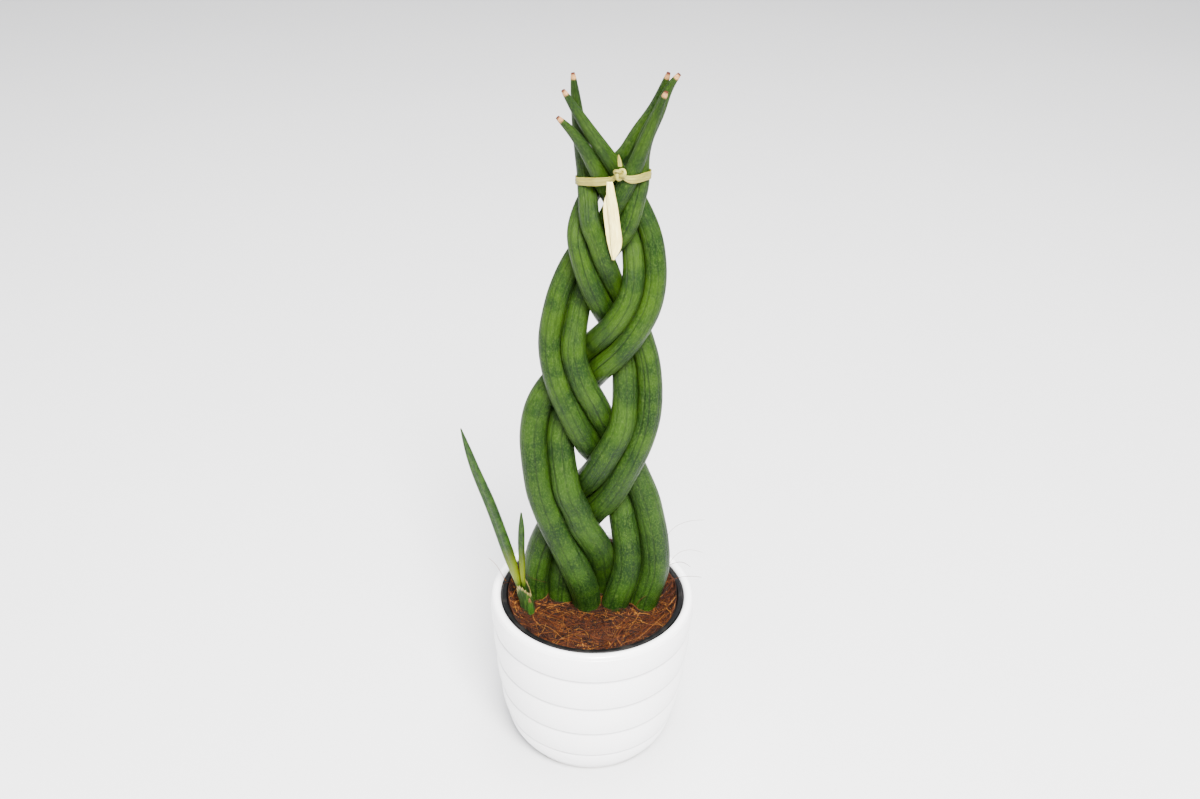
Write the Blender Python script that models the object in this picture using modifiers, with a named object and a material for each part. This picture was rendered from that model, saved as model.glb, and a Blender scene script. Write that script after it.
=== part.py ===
"""A plaited cylindrical snake plant, about 47 cm tall, in a ribbed white ceramic pot.

Six round leaves, two to a strand, are plaited in three strands and tied with raffia below
their tips. A pup stands on the left. The plant roots in potting mix in a black nursery pot,
which stands inside the ceramic one. Units are metres, +Z is up, and the origin is the centre
of the pot's foot. Sizes that are easier to read in millimetres are multiplied by MM.
"""

import math
from itertools import combinations

import bmesh
import bpy
import numpy as np

MM = 0.001
GAP = 0.35 * MM  # clearance kept between pieces that touch

# ---- driving dimensions -------------------------------------------------------------------
POT_HEIGHT = 116.5 * MM
POT_RIM_RADIUS = 67 * MM
POT_FOOT_RADIUS = 48 * MM
POT_WALL = 6 * MM
POT_FLOOR = 7 * MM
# Height and radius of the grooves between the pot's five bands, from the foot up.
POT_GROOVES = [
    (22.5 * MM, 58.2 * MM), (45 * MM, 61.9 * MM), (69 * MM, 64.2 * MM), (94 * MM, 65.9 * MM)]
POT_BAND_SWELL = 0.8 * MM  # the lowest band swells twice as much
POT_BAND_POINTS = 6
POT_FOOT_EDGE = 1.5 * MM
TURN_STEPS = 48

NURSERY_TOP = 114.8 * MM
NURSERY_LIP_RADIUS = 60.3 * MM
NURSERY_LIP_HEIGHT = 5 * MM
NURSERY_TOP_RADIUS = 58.2 * MM
NURSERY_BASE_RADIUS = 43 * MM
NURSERY_WALL = 1.2 * MM
DRAIN_HOLES = 8
DRAIN_HOLE_RADIUS = 3.5 * MM
DRAIN_RING_RADIUS = 31 * MM

MIX_TOP = 99 * MM
COIR_CENTRE_TOP = 107.5 * MM
COIR_EDGE_TOP = 103.5 * MM
COIR_BUMP = 0.9 * MM
RHIZOME_HEIGHT = 70 * MM
RHIZOME_RADIUS = 7.5 * MM
RHIZOME_ROUTE = [
    (-43, -10, 66), (-32, -4, 69), (-16, 0, 70), (2, 4, 70), (18, 1, 70), (32, -2, 68)]
RHIZOME_POINTS = 16
STUB_GAP = 4 * MM  # from the top of a stub to the foot of its leaf
STEM_CLEAR_HEIGHT = 130 * MM  # the ground is cut clear of stems up to this height
LEAF_FOOT = 84 * MM  # the leaves' lower ends, inside the mix

# Across, depth and height of each plaited leaf's centreline, and its thickness radius, in
# millimetres. Depth is negative where a leaf passes in front of another and positive behind.
LEAF_STATIONS = {
    "leaf_low_left": (9.8, [
        (-3, -4, 84), (-4, -6, 112), (-9, -10, 138), (-20, -10, 163), (-33, -8, 196), (-38, -1, 231),
        (-34, 5, 258), (-21, 8, 278), (-8, 5, 295), (10, -6, 322), (19, -5, 343), (18, 3, 363),
        (9, 5, 387), (-2, -6, 414), (-17, -7, 437), (-24, -7, 444)]),
    "leaf_low_left_inner": (9.6, [
        (8, 15, 84), (8, 11, 112), (5, -2, 146), (-6, -9, 180), (-17, -7, 209), (-22, 0, 238),
        (-18.5, 6, 257), (-8, 8, 270), (6, 0, 290), (18, -8, 309), (30, -6, 330), (33, 0, 352),
        (29, 5, 375), (19.5, 8, 394), (6, -5, 418), (-7, -5, 437), (-21, -4, 458)]),
    "leaf_back_left": (9.4, [
        (-36, 5, 84), (-38, 5, 116), (-33, 6, 149), (-19, 8, 177), (-5, 3, 202), (5, -8, 231),
        (14, -7, 252), (16, 1, 278), (10, 7, 305), (2, 1, 325), (-6, -8, 349), (-12, -1, 371),
        (-10, 7, 385), (-2, 9, 400), (13, 10, 417), (20, 10, 430), (27, 9, 442), (35, 5, 466)]),
    "leaf_back_centre": (9.4, [
        (-17, 2, 84), (-20, 3, 120), (-12, 8, 157), (2, 4, 182), (17, -8, 213), (29, -6, 241),
        (33, 0, 272), (28, 6, 300), (16, 6, 328), (8, 0, 345), (2, -8, 368), (-5, -4, 388),
        (-8, 4, 405), (-11, 5, 425), (-16, 4, 465)]),
    "leaf_right_inner": (9.4, [
        (12, -5, 84), (15, -4, 114), (22, 0, 142), (20, 3, 166), (12, 7, 192), (1, 3, 220),
        (-11, -8, 249), (-22, -7, 274), (-28, -1, 300), (-24, 4, 330), (-13, 8, 358), (0, 1, 377),
        (10, -7, 396), (19, -7, 418), (28, -6, 443), (34, -6, 459)]),
    "leaf_right_outer": (9.6, [
        (30, -3, 84), (36, -2, 116), (40, 0, 149), (35, 4, 180), (22, 8, 213), (9, 2, 239),
        (-1, -8, 268), (-10, -6, 288), (-13, 0, 308), (-8, 6, 335), (2, 6, 356), (14, -6, 382),
        (17.5, -4, 396), (20.5, 3, 411), (24, 3, 430), (31, 3, 446), (36, 3, 459), (41, 3, 466)]),
}
LEAF_WAIST = 0.15  # share of radius lost at the foot, over the same share of the length
LEAF_NARROWING = 0.55  # share of its radius that a leaf loses along its length
LEAF_FALL = 1.4  # above 1, most of that is lost in the upper half
LEAF_TIP_START = 0.80  # where along its length a leaf begins to close to its tip
LEAF_TIP_END = 0.97  # the tip stops this far along its ellipse, so it ends blunt
SETTLE_SAMPLES = 160
SETTLE_ROUNDS = 120
SETTLE_CLEARANCE = 0.7  # millimetres between two leaves where they press on each other
SETTLE_SHARE = np.array([0.5, 1.0, 0.3])  # pressed leaves give way most in depth
LEAF_RINGS = np.linspace(0, SETTLE_SAMPLES - 1, 46).round().astype(int)  # samples that get a ring

# Across, depth, height and radius of the pup's leaves and sheath, in millimetres.
PUP_STATIONS = {
    "pup_tall_leaf": [
        (-46.7, -10.5, 121, 1.5), (-48.9, -10.5, 130, 1.9), (-52, -10.5, 143, 3.1),
        (-58, -11, 166, 3.6), (-66, -11, 194, 3.4), (-74, -11, 218, 2.8), (-79, -11, 236, 1.7),
        (-82, -11, 248, 0.4)],
    "pup_short_leaf": [
        (-43.4, -10.6, 121, 1.1), (-45.2, -10.8, 130, 1.4), (-45.8, -11, 142, 1.9),
        (-46.2, -11, 160, 2.1), (-46, -11, 175, 1.8), (-46, -11, 186, 0.5)],
}
PUP_LEAF_POINTS = 24
PUP_SHEATH = [
    (-41.5, -10.5, 86, 4.9), (-42.5, -10.5, 108, 4.8), (-45, -10.5, 122, 4.6),
    (-46.9, -10.6, 131, 4.7)]
PUP_SHEATH_WALL = 0.5 * MM
SHEATH_RINGS = 12
SHEATH_SIDES = 16
# Across, depth, height and width of the scale leaf on the sheath, in millimetres.
SCALE_LEAF = [
    (-40, -16.8, 96, 2.4), (-40, -16.6, 106, 4.2), (-40.3, -16.6, 113, 4.4), (-41, -16.4, 121, 0.8)]
SCALE_LEAF_THICKNESS = 1.2 * MM
SCALE_LEAF_POINTS = 10

RAFFIA_HEIGHT = 407 * MM
RAFFIA_RISE = 0.12  # the tie climbs this much for each unit to the right
RAFFIA_LIFT = 0.22  # and this much for each unit towards the front
RAFFIA_WIDTH = 4.8 * MM
RAFFIA_THICKNESS = 0.5 * MM
KNOT_CENTRE = (10.3 * MM, -17 * MM, 416.4 * MM)
KNOT_UNIT = 1 * MM
KNOT_STRAND_RADIUS = 0.75 * MM
BAND_SIDES = 40
KNOT_POINTS = 36
# Across, depth, height and width along each loose end of the tie, in millimetres, and how
# many points its strip has.
RAFFIA_TAILS = {
    "raffia_long_tail": (14, [
        (7.3, -18.5, 411, 3.2), (4.8, -18.5, 404, 5.2), (5.8, -18.2, 394.5, 6), (8, -18, 382.5, 6.2),
        (9.3, -17.8, 374, 5.6), (8.6, -17.7, 366.5, 1.2)]),
    "raffia_under_tail": (12, [
        (6.3, -17.4, 409.5, 2), (3.4, -17.3, 399.5, 3), (4.2, -16.8, 387.5, 3.2),
        (6.2, -16.6, 375.5, 3.4), (7.8, -16.5, 365.5, 1)]),
    "raffia_short_tail": (6, [
        (10.4, -17.2, 420.9, 2.4), (9.9, -17.4, 424.4, 2), (9.3, -17.6, 427.6, 0.7)]),
}

COLOURS = {
    "white_glaze": ((0.86, 0.86, 0.87), 0.22),
    "black_plastic": ((0.02, 0.02, 0.022), 0.45),
    "potting_mix": ((0.06, 0.035, 0.02), 0.95),
    "coir": ((0.25, 0.09, 0.03), 0.9),
    "leaf_green": ((0.05, 0.14, 0.04), 0.38),
    "pup_green": ((0.10, 0.25, 0.03), 0.4),
    "rhizome": ((0.45, 0.28, 0.10), 0.7),
    "raffia": ((0.62, 0.52, 0.26), 0.6),
}


# ---- scene and helpers --------------------------------------------------------------------
for old in list(bpy.data.objects):
    bpy.data.objects.remove(old, do_unlink=True)

plant = bpy.data.collections.new("potted_snake_plant")
cutters = bpy.data.collections.new("cutters")
bpy.context.scene.collection.children.link(plant)
bpy.context.scene.collection.children.link(cutters)


def material(name):
    """A Principled material in the named colour and roughness."""
    found = bpy.data.materials.get(name)
    if found:
        return found
    colour, roughness = COLOURS[name]
    made = bpy.data.materials.new(name)
    made.use_nodes = True
    shader = made.node_tree.nodes["Principled BSDF"]
    shader.inputs["Base Color"].default_value = (*colour, 1)
    shader.inputs["Roughness"].default_value = roughness
    return made


def add(name, data, finish, collection=plant):
    """Links a new object that holds this mesh or curve."""
    made = bpy.data.objects.new(name, data)
    collection.objects.link(made)
    if collection is cutters:
        made.hide_render = True
        made.display_type = "WIRE"
    else:
        data.materials.append(material(finish))
    return made


def turned(name, profile, finish, steps):
    """A profile in the XZ plane turned about Z. It starts and ends on the axis."""
    mesh = bpy.data.meshes.new(name)
    edges = [(i, i + 1) for i in range(len(profile) - 1)]
    mesh.from_pydata([(r, 0, z) for r, z in profile], edges, [])
    made = add(name, mesh, finish)
    screw = made.modifiers.new("turn", "SCREW")
    screw.steps = screw.render_steps = steps
    screw.use_merge_vertices = True
    screw.merge_threshold = 0.0001
    screw.use_smooth_shade = True
    weld = made.modifiers.new("weld", "WELD")
    weld.merge_threshold = 0.00001
    return made


def curve_tube(name, points, radii, finish, sides_resolution, cyclic=False):
    """A round tube through the points, with its own radius at each."""
    curve = bpy.data.curves.new(name, "CURVE")
    curve.dimensions = "3D"
    curve.use_fill_caps = not cyclic
    curve.bevel_resolution = sides_resolution
    curve.bevel_depth = max(radii)
    spline = curve.splines.new("POLY")
    spline.points.add(len(points) - 1)
    spline.use_cyclic_u = cyclic
    for point, place, radius in zip(spline.points, points, radii):
        point.co = (*place, 1)
        point.radius = radius / curve.bevel_depth
    return add(name, curve, finish)


def as_mesh(source, collection):
    """Replaces a curve object by a mesh object of the same shape, with its caps welded."""
    graph = bpy.context.evaluated_depsgraph_get()
    mesh = bpy.data.meshes.new_from_object(source.evaluated_get(graph))
    shape = bmesh.new()
    shape.from_mesh(mesh)
    bmesh.ops.remove_doubles(shape, verts=shape.verts, dist=0.00001)
    bmesh.ops.recalc_face_normals(shape, faces=shape.faces)
    shape.to_mesh(mesh)
    shape.free()
    name, finish = source.name, source.data.materials[0].name
    bpy.data.objects.remove(source, do_unlink=True)
    mesh.materials.clear()
    return add(name, mesh, finish, collection)


def cut(target, tool, operation="DIFFERENCE", solver="EXACT"):
    """Adds a Boolean with one tool to the target."""
    boolean = target.modifiers.new(tool.name, "BOOLEAN")
    boolean.operation = operation
    boolean.solver = solver
    boolean.object = tool


def smooth_path(stations, count):
    """Natural cubic spline through the stations, resampled at even steps of length."""
    knots = np.array(stations, float)
    along = np.r_[0, np.cumsum(np.linalg.norm(np.diff(knots[:, :3], axis=0), axis=1))]
    step = np.diff(along)[:, None]
    slope = np.diff(knots, axis=0) / step
    size = len(knots)
    system, wanted = np.eye(size), np.zeros_like(knots)
    for i in range(1, size - 1):
        before, after = step[i - 1, 0], step[i, 0]
        system[i, i - 1:i + 2] = before, 2 * (before + after), after
        wanted[i] = 6 * (slope[i] - slope[i - 1])
    bend = np.linalg.solve(system, wanted)

    def place(lengths):
        span = np.clip(np.searchsorted(along, lengths, side="right") - 1, 0, size - 2)
        left, right = (along[span + 1] - lengths)[:, None], (lengths - along[span])[:, None]
        wide = step[span]
        return ((bend[span] * left**3 + bend[span + 1] * right**3) / (6 * wide)
                + (knots[span] / wide - bend[span] * wide / 6) * left
                + (knots[span + 1] / wide - bend[span + 1] * wide / 6) * right)

    fine = np.linspace(0, along[-1], 900)
    walked = place(fine)
    lengths = np.r_[0, np.cumsum(np.linalg.norm(np.diff(walked[:, :3], axis=0), axis=1))]
    return place(np.interp(np.linspace(0, lengths[-1], count), lengths, fine))


def leaf_radii(thickest, count):
    """Radius along a leaf: a waist at the foot, a curved narrowing and an elliptical tip."""
    share = np.linspace(0, 1, count)
    waist = 1 - LEAF_WAIST * np.clip(1 - share / LEAF_WAIST, 0, 1) ** 2
    closing = LEAF_TIP_END * np.clip((share - LEAF_TIP_START) / (1 - LEAF_TIP_START), 0, 1)
    return thickest * waist * (1 - LEAF_NARROWING * share**LEAF_FALL) * np.sqrt(1 - closing**2)


def press_apart(paths, radii):
    """Moves crossing centrelines apart until the leaves just clear each other.

    Where two leaves overlap, each gives way by half of the overlap along the line between
    their centres, mostly in depth, and the move is spread over its neighbours by a
    triangular average so that the leaf stays smooth.
    """
    spread = np.array([1, 2, 3, 4, 3, 2, 1]) / 16
    for _ in range(SETTLE_ROUNDS):
        moves = {name: np.zeros_like(path) for name, path in paths.items()}
        for first, second in combinations(paths, 2):
            away = paths[first][:, None] - paths[second][None]
            apart = np.linalg.norm(away, axis=2)
            short = radii[first][:, None] + radii[second][None] + SETTLE_CLEARANCE - apart
            for name, lack, direction in (
                    (first, short, away), (second, short.T, -away.transpose(1, 0, 2))):
                row, near = np.arange(SETTLE_SAMPLES), lack.argmax(axis=1)
                unit = direction[row, near] / np.linalg.norm(direction[row, near], axis=1)[:, None]
                moves[name] += unit * np.clip(lack[row, near], 0, None)[:, None] / 2
        if max(np.abs(move).max() for move in moves.values()) < 0.004:
            break
        for name, move in moves.items():
            padded = np.pad(move * SETTLE_SHARE, ((3, 3), (0, 0)), mode="edge")
            paths[name] = paths[name] + sum(
                weight * padded[i:i + SETTLE_SAMPLES] for i, weight in enumerate(spread))
    return paths


# ---- ceramic pot ---------------------------------------------------------------------------
def band_outline(low, high, swell, points):
    """Outline between two grooves, bottom to top: a straight line plus half a sine wave."""
    share = np.linspace(0, 1, points)
    radius = low[1] + (high[1] - low[1]) * share + swell * np.sin(math.pi * share)
    height = low[0] + (high[0] - low[0]) * share
    return list(zip(radius, height))


def make_ceramic_pot():
    """The turned pot: five swelling bands, a rounded rim and a plain cavity."""
    reach = POT_WALL / 2  # the rim is a half circle as wide as the wall
    foot = (POT_FOOT_EDGE, POT_FOOT_RADIUS)
    rim = (POT_HEIGHT - reach, POT_RIM_RADIUS)
    levels = [foot, *POT_GROOVES, rim]
    outer = []
    for i, (low, high) in enumerate(zip(levels, levels[1:])):
        swell = 2 * POT_BAND_SWELL if i == 0 else POT_BAND_SWELL
        outer += band_outline(low, high, swell, POT_BAND_POINTS)[:-1]
    outer.append((POT_RIM_RADIUS, rim[0]))
    lip = [(POT_RIM_RADIUS - reach - reach * math.cos(a), rim[0] + reach * math.sin(a))
           for a in np.linspace(0, math.pi, 7)[1:-1]]
    cavity = [(0, POT_FLOOR), (44 * MM, POT_FLOOR), (50 * MM, POT_FLOOR + 6 * MM)]
    cavity += [(radius - POT_WALL, height) for height, radius in POT_GROOVES]
    cavity.append((POT_RIM_RADIUS - POT_WALL, rim[0]))
    foot_edge = [(POT_FOOT_RADIUS - POT_FOOT_EDGE, 0), (0, 0)]
    return turned("ceramic_pot", cavity + lip + outer[::-1] + foot_edge, "white_glaze", TURN_STEPS)


# ---- nursery pot ---------------------------------------------------------------------------
def nursery_radius(height):
    """Outer radius of the tapering nursery pot's wall at a height."""
    base = POT_FLOOR + GAP
    share = (height - base) / (NURSERY_TOP - base)
    return NURSERY_BASE_RADIUS + (NURSERY_TOP_RADIUS - NURSERY_BASE_RADIUS) * share


def make_nursery_pot():
    """A thin tapering pot with an outward lip and drain holes in its base."""
    base = POT_FLOOR + GAP
    lip_under = NURSERY_TOP - NURSERY_LIP_HEIGHT
    profile = [
        (0, base + NURSERY_WALL),
        (nursery_radius(base) - 2 * NURSERY_WALL, base + NURSERY_WALL),
        (nursery_radius(base + 6 * MM) - NURSERY_WALL, base + 6 * MM),
        (nursery_radius(NURSERY_TOP) - NURSERY_WALL, NURSERY_TOP - 0.6 * MM),
        (nursery_radius(NURSERY_TOP) - NURSERY_WALL / 2, NURSERY_TOP),
        (NURSERY_LIP_RADIUS - 0.6 * MM, NURSERY_TOP),
        (NURSERY_LIP_RADIUS, NURSERY_TOP - 0.6 * MM),
        (NURSERY_LIP_RADIUS, lip_under),
        (nursery_radius(lip_under), lip_under),
        (nursery_radius(base + 3 * MM), base + 3 * MM),
        (nursery_radius(base) - 2 * MM, base),
        (0, base),
    ]
    pot = turned("nursery_pot", profile, "black_plastic", TURN_STEPS)
    for i in range(DRAIN_HOLES):
        angle = 2 * math.pi * i / DRAIN_HOLES
        shape = bmesh.new()
        bmesh.ops.create_cone(shape, cap_ends=True, segments=12, radius1=DRAIN_HOLE_RADIUS,
                              radius2=DRAIN_HOLE_RADIUS, depth=8 * MM)
        mesh = bpy.data.meshes.new(f"drain_{i}")
        shape.to_mesh(mesh)
        shape.free()
        drill = add(f"drain_{i}", mesh, None, cutters)
        drill.location = (
            DRAIN_RING_RADIUS * math.cos(angle), DRAIN_RING_RADIUS * math.sin(angle), base)
        cut(pot, drill)
    return pot


# ---- potting mix, coir and rhizome ---------------------------------------------------------
def make_potting_mix():
    """The plug of mix that fills the nursery pot."""
    base = POT_FLOOR + GAP + NURSERY_WALL
    profile = [
        (0, MIX_TOP),
        (nursery_radius(MIX_TOP) - NURSERY_WALL - GAP, MIX_TOP),
        (nursery_radius(base + 6 * MM) - NURSERY_WALL - GAP, base + 6 * MM),
        (nursery_radius(base) - 3 * NURSERY_WALL - GAP, base + GAP),
        (0, base + GAP),
    ]
    return turned("potting_mix", profile, "potting_mix", TURN_STEPS)


def make_coir_topping():
    """A loose mat of coir over the mix, mounded round the leaves and uneven on top."""
    low = MIX_TOP + GAP
    edge = nursery_radius(low) - NURSERY_WALL - GAP
    shares = np.linspace(0, 1, 9)
    top = [(edge * s, COIR_CENTRE_TOP - (COIR_CENTRE_TOP - COIR_EDGE_TOP) * s * s) for s in shares]
    mat = turned("coir_topping", top + [(edge, low), (0, low)], "coir", TURN_STEPS)
    graph = bpy.context.evaluated_depsgraph_get()
    mesh = bpy.data.meshes.new_from_object(mat.evaluated_get(graph))
    bpy.data.objects.remove(mat, do_unlink=True)
    for vertex in mesh.vertices:
        x, y, z = vertex.co / MM
        if z * MM > low + 1 * MM:
            bumps = math.sin(0.19 * x + 0.7) * math.cos(0.23 * y)
            bumps += 0.6 * math.sin(0.37 * x - 0.31 * y + 1.9)
            vertex.co.z += COIR_BUMP * bumps
    return add("coir_topping", mesh, "coir")


def make_rhizome(feet):
    """The underground stem that the leaves grow from, with a stub below each of them.

    Returns the line and radii of the stem and of each stub, in millimetres.
    """
    path = smooth_path(RHIZOME_ROUTE, RHIZOME_POINTS)
    taper = 0.75 + 0.25 * np.sin(np.linspace(0, math.pi, RHIZOME_POINTS))
    lines = {"rhizome": (path, RHIZOME_RADIUS / MM * taper)}
    for name, foot in feet.items():
        top = np.array([*foot[:2], (LEAF_FOOT - STUB_GAP) / MM])
        nearest = path[np.linalg.norm(path[:, :2] - top[:2], axis=1).argmin()]
        lines[f"stub_{name}"] = (np.array([nearest, top]), np.array([5, 4]))
    solids = {name: as_mesh(curve_tube(name, line * MM, radii * MM, "rhizome", 2),
                            plant if name == "rhizome" else cutters)
              for name, (line, radii) in lines.items()}
    for name, stub in solids.items():
        if name != "rhizome":
            cut(solids["rhizome"], stub, "UNION")
    return lines


def clear_holes(stems, grounds):
    """Cuts the grounds clear of each stem's centreline and radius below STEM_CLEAR_HEIGHT."""
    for name, (path, thickness) in stems.items():
        low = path[:, 2] < STEM_CLEAR_HEIGHT / MM
        line = path[low] * MM
        wide = thickness[low] * MM + 3 * GAP
        tool = as_mesh(curve_tube(f"clear_{name}", line, wide, "coir", 3), cutters)
        for ground in grounds:
            cut(ground, tool, solver="MANIFOLD")  # EXACT drops a cut where the thin mat's holes merge


# ---- leaves --------------------------------------------------------------------------------
def make_leaves():
    """The six plaited leaves, settled against each other. Returns their centrelines."""
    paths = {n: smooth_path(s, SETTLE_SAMPLES) for n, (_, s) in LEAF_STATIONS.items()}
    radii = {n: leaf_radii(r, SETTLE_SAMPLES) for n, (r, _) in LEAF_STATIONS.items()}
    paths = press_apart(paths, radii)
    for name, path in paths.items():
        curve_tube(name, path[LEAF_RINGS] * MM, radii[name][LEAF_RINGS] * MM, "leaf_green", 3)
    return paths, radii


def make_pup():
    """The pup's two leaves."""
    for name, stations in PUP_STATIONS.items():
        path = smooth_path(stations, PUP_LEAF_POINTS) * MM
        curve_tube(name, path[:, :3], path[:, 3], "pup_green", 2)


def make_sheath():
    """The pup's sheath: a tapering open tube round the feet of both of its leaves."""
    sides = SHEATH_SIDES
    turns = np.linspace(0, 2 * math.pi, sides, endpoint=False)
    rings = [np.c_[x + r * np.cos(turns), y + r * np.sin(turns), np.full(sides, z)]
             for x, y, z, r in smooth_path(PUP_SHEATH, SHEATH_RINGS)]
    faces = [(low + k, low + (k + 1) % sides, low + sides + (k + 1) % sides, low + sides + k)
             for low in range(0, sides * (SHEATH_RINGS - 1), sides) for k in range(sides)]
    mesh = bpy.data.meshes.new("pup_sheath")
    mesh.from_pydata((np.concatenate(rings) * MM).tolist(), [], faces)
    made = add("pup_sheath", mesh, "pup_green")
    wall = made.modifiers.new("wall", "SOLIDIFY")
    wall.thickness = PUP_SHEATH_WALL
    wall.offset = 0
    return made


def strip(name, stations, thickness, finish, count):
    """A flat strip across the X axis through stations of place and width, given thickness."""
    path = smooth_path(stations, count)
    half = np.c_[path[:, 3] / 2, np.zeros(count), np.zeros(count)]
    points = np.concatenate([path[:, :3] - half, path[:, :3] + half]) * MM
    faces = [(i, i + 1, count + i + 1, count + i) for i in range(count - 1)]
    mesh = bpy.data.meshes.new(name)
    mesh.from_pydata(points.tolist(), [], faces)
    made = add(name, mesh, finish)
    wall = made.modifiers.new("wall", "SOLIDIFY")
    wall.thickness = thickness
    wall.offset = 0
    return made


# ---- raffia tie ----------------------------------------------------------------------------
def tie_height(across, depth):
    """Height of the middle of the tilted tie, in millimetres."""
    return RAFFIA_HEIGHT / MM + RAFFIA_RISE * across - RAFFIA_LIFT * depth


def raffia_outline(paths, radii, directions):
    """The tightest loop round the leaves at the tie's height, as points in millimetres.

    In each direction the leaf section that reaches furthest sets the loop, where a sample of
    a leaf counts as the slice of a ball at the tie's height.
    """
    half = RAFFIA_WIDTH / MM / 2
    centres, reaches = [], []
    for name, path in paths.items():
        off = np.clip(np.abs(path[:, 2] - tie_height(path[:, 0], path[:, 1])) - half, 0, None)
        near = off < radii[name]
        centres.append(path[near, :2])
        reaches.append(np.sqrt(radii[name][near] ** 2 - off[near] ** 2) + 1.6 * GAP / MM)
    centres, reaches = np.concatenate(centres), np.concatenate(reaches)
    furthest = (centres @ directions.T + reaches[:, None]).argmax(axis=0)
    return centres[furthest] + directions * reaches[furthest][:, None]


def make_raffia(paths, radii):
    """The band round the leaves, its knot in front and the loose ends."""
    count = BAND_SIDES
    angles = np.linspace(0, 2 * math.pi, count, endpoint=False)
    directions = np.c_[np.cos(angles), np.sin(angles)]
    loop = raffia_outline(paths, radii, directions)
    heights = tie_height(loop[:, 0], loop[:, 1])
    half, thick = RAFFIA_WIDTH / MM / 2, RAFFIA_THICKNESS / MM
    rings = [np.c_[loop + directions * out, heights + up]
             for out, up in ((0, -half), (0, half), (thick, half), (thick, -half))]
    points = np.concatenate(rings) * MM
    faces = []
    for side in range(4):
        here, there = side * count, (side + 1) % 4 * count
        faces += [(here + i, there + i, there + (i + 1) % count, here + (i + 1) % count)
                  for i in range(count)]
    mesh = bpy.data.meshes.new("raffia_band")
    mesh.from_pydata(points.tolist(), [], faces)
    shape = bmesh.new()
    shape.from_mesh(mesh)
    bmesh.ops.recalc_face_normals(shape, faces=shape.faces)
    shape.to_mesh(mesh)
    shape.free()
    add("raffia_band", mesh, "raffia")

    turns = np.linspace(0, 2 * math.pi, KNOT_POINTS, endpoint=False)
    knot = np.c_[np.sin(turns) + 2 * np.sin(2 * turns), -np.sin(3 * turns),
                 np.cos(turns) - 2 * np.cos(2 * turns)] * KNOT_UNIT + np.array(KNOT_CENTRE)
    curve_tube("raffia_knot", knot, [KNOT_STRAND_RADIUS] * KNOT_POINTS, "raffia", 2, cyclic=True)
    for name, (points_along, stations) in RAFFIA_TAILS.items():
        strip(name, stations, RAFFIA_THICKNESS, "raffia", points_along)


# ---- assembly ------------------------------------------------------------------------------
make_ceramic_pot()
make_nursery_pot()
leaf_paths, leaf_sizes = make_leaves()
make_pup()
make_sheath()
strip("pup_scale_leaf", SCALE_LEAF, SCALE_LEAF_THICKNESS, "pup_green", SCALE_LEAF_POINTS)
make_raffia(leaf_paths, leaf_sizes)
rhizome_lines = make_rhizome({name: path[0] for name, path in leaf_paths.items()})

mix, coir = make_potting_mix(), make_coir_topping()
stems = {}
for name, path in leaf_paths.items():
    below = np.array([[*path[0, :2], RHIZOME_HEIGHT / MM + 4]])
    stems[name] = (np.vstack([below, path[LEAF_RINGS]]), leaf_sizes[name][np.r_[0, LEAF_RINGS]])
sheath = smooth_path(PUP_SHEATH, SHEATH_RINGS)
scale = smooth_path(SCALE_LEAF, SCALE_LEAF_POINTS)
below = np.array([[*PUP_SHEATH[0][:2], RHIZOME_HEIGHT / MM + 2]])
stems["pup_sheath"] = (np.vstack([below, sheath[:, :3]]), np.r_[8, sheath[:, 3]] + PUP_SHEATH_WALL / MM)
stems["pup_scale_leaf"] = (scale[:, :3], scale[:, 3] / 2)
clear_holes(stems, (mix, coir))
clear_holes(rhizome_lines, (mix,))
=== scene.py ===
"""Looks of a plaited cylindrical snake plant in a ribbed white ceramic pot.

Built up as the plant is potted: the ceramic pot, the black nursery pot inside it, the potting
mix and its rhizome, the coir topping, the six plaited leaves, the pup and the raffia tie.
Lengths that are easier to read in millimetres are multiplied by MM.
"""

import math
from itertools import combinations

import bpy
import numpy as np
from mathutils import Matrix, Vector


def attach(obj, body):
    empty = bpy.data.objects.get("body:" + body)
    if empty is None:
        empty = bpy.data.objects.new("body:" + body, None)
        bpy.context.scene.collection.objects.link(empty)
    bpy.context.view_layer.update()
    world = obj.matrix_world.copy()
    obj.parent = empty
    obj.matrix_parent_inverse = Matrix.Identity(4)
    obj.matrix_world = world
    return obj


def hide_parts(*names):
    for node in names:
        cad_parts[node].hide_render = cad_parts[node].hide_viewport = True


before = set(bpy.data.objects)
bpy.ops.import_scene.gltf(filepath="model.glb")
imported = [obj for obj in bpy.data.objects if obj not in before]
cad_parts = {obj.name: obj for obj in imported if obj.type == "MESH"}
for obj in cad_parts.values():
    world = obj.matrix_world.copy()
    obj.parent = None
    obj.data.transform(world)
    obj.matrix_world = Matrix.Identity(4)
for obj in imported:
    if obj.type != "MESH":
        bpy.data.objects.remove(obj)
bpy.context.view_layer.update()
MM = 0.001
chance = np.random.default_rng(31)


# ---- room ----------------------------------------------------------------------------------
# A pale floor that runs out of sight, a soft overcast sky, a strong window light in front, a
# weak one on the left and one from above. The camera looks down at the plant from in front.
CAMERA_PLACE = Vector((0.0023, -0.6965, 0.6822))
CAMERA_PITCH = math.radians(30.97)
CAMERA_ROLL = math.radians(1.25)
CAMERA_LENS = 40
FLOOR_SIZE = 12.0
SKY_COLOUR = (0.93, 0.95, 1.0, 1)
SKY_STRENGTH = 0.75
# Place, size, power and colour of each window light, which faces the middle of the plant.
WINDOW_LIGHTS = {
    "window_front": ((0.35, -1.5, 2.1), 0.9, 400, (1.0, 0.985, 0.96)),
    "window_left": ((-1.1, -1.5, 1.5), 1.2, 20, (0.93, 0.96, 1.0)),
    "window_top": ((0.1, 0.3, 2.2), 1.2, 110, (1.0, 1.0, 1.0)),
}
PLANT_MIDDLE = Vector((0, 0, 0.2))


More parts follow.
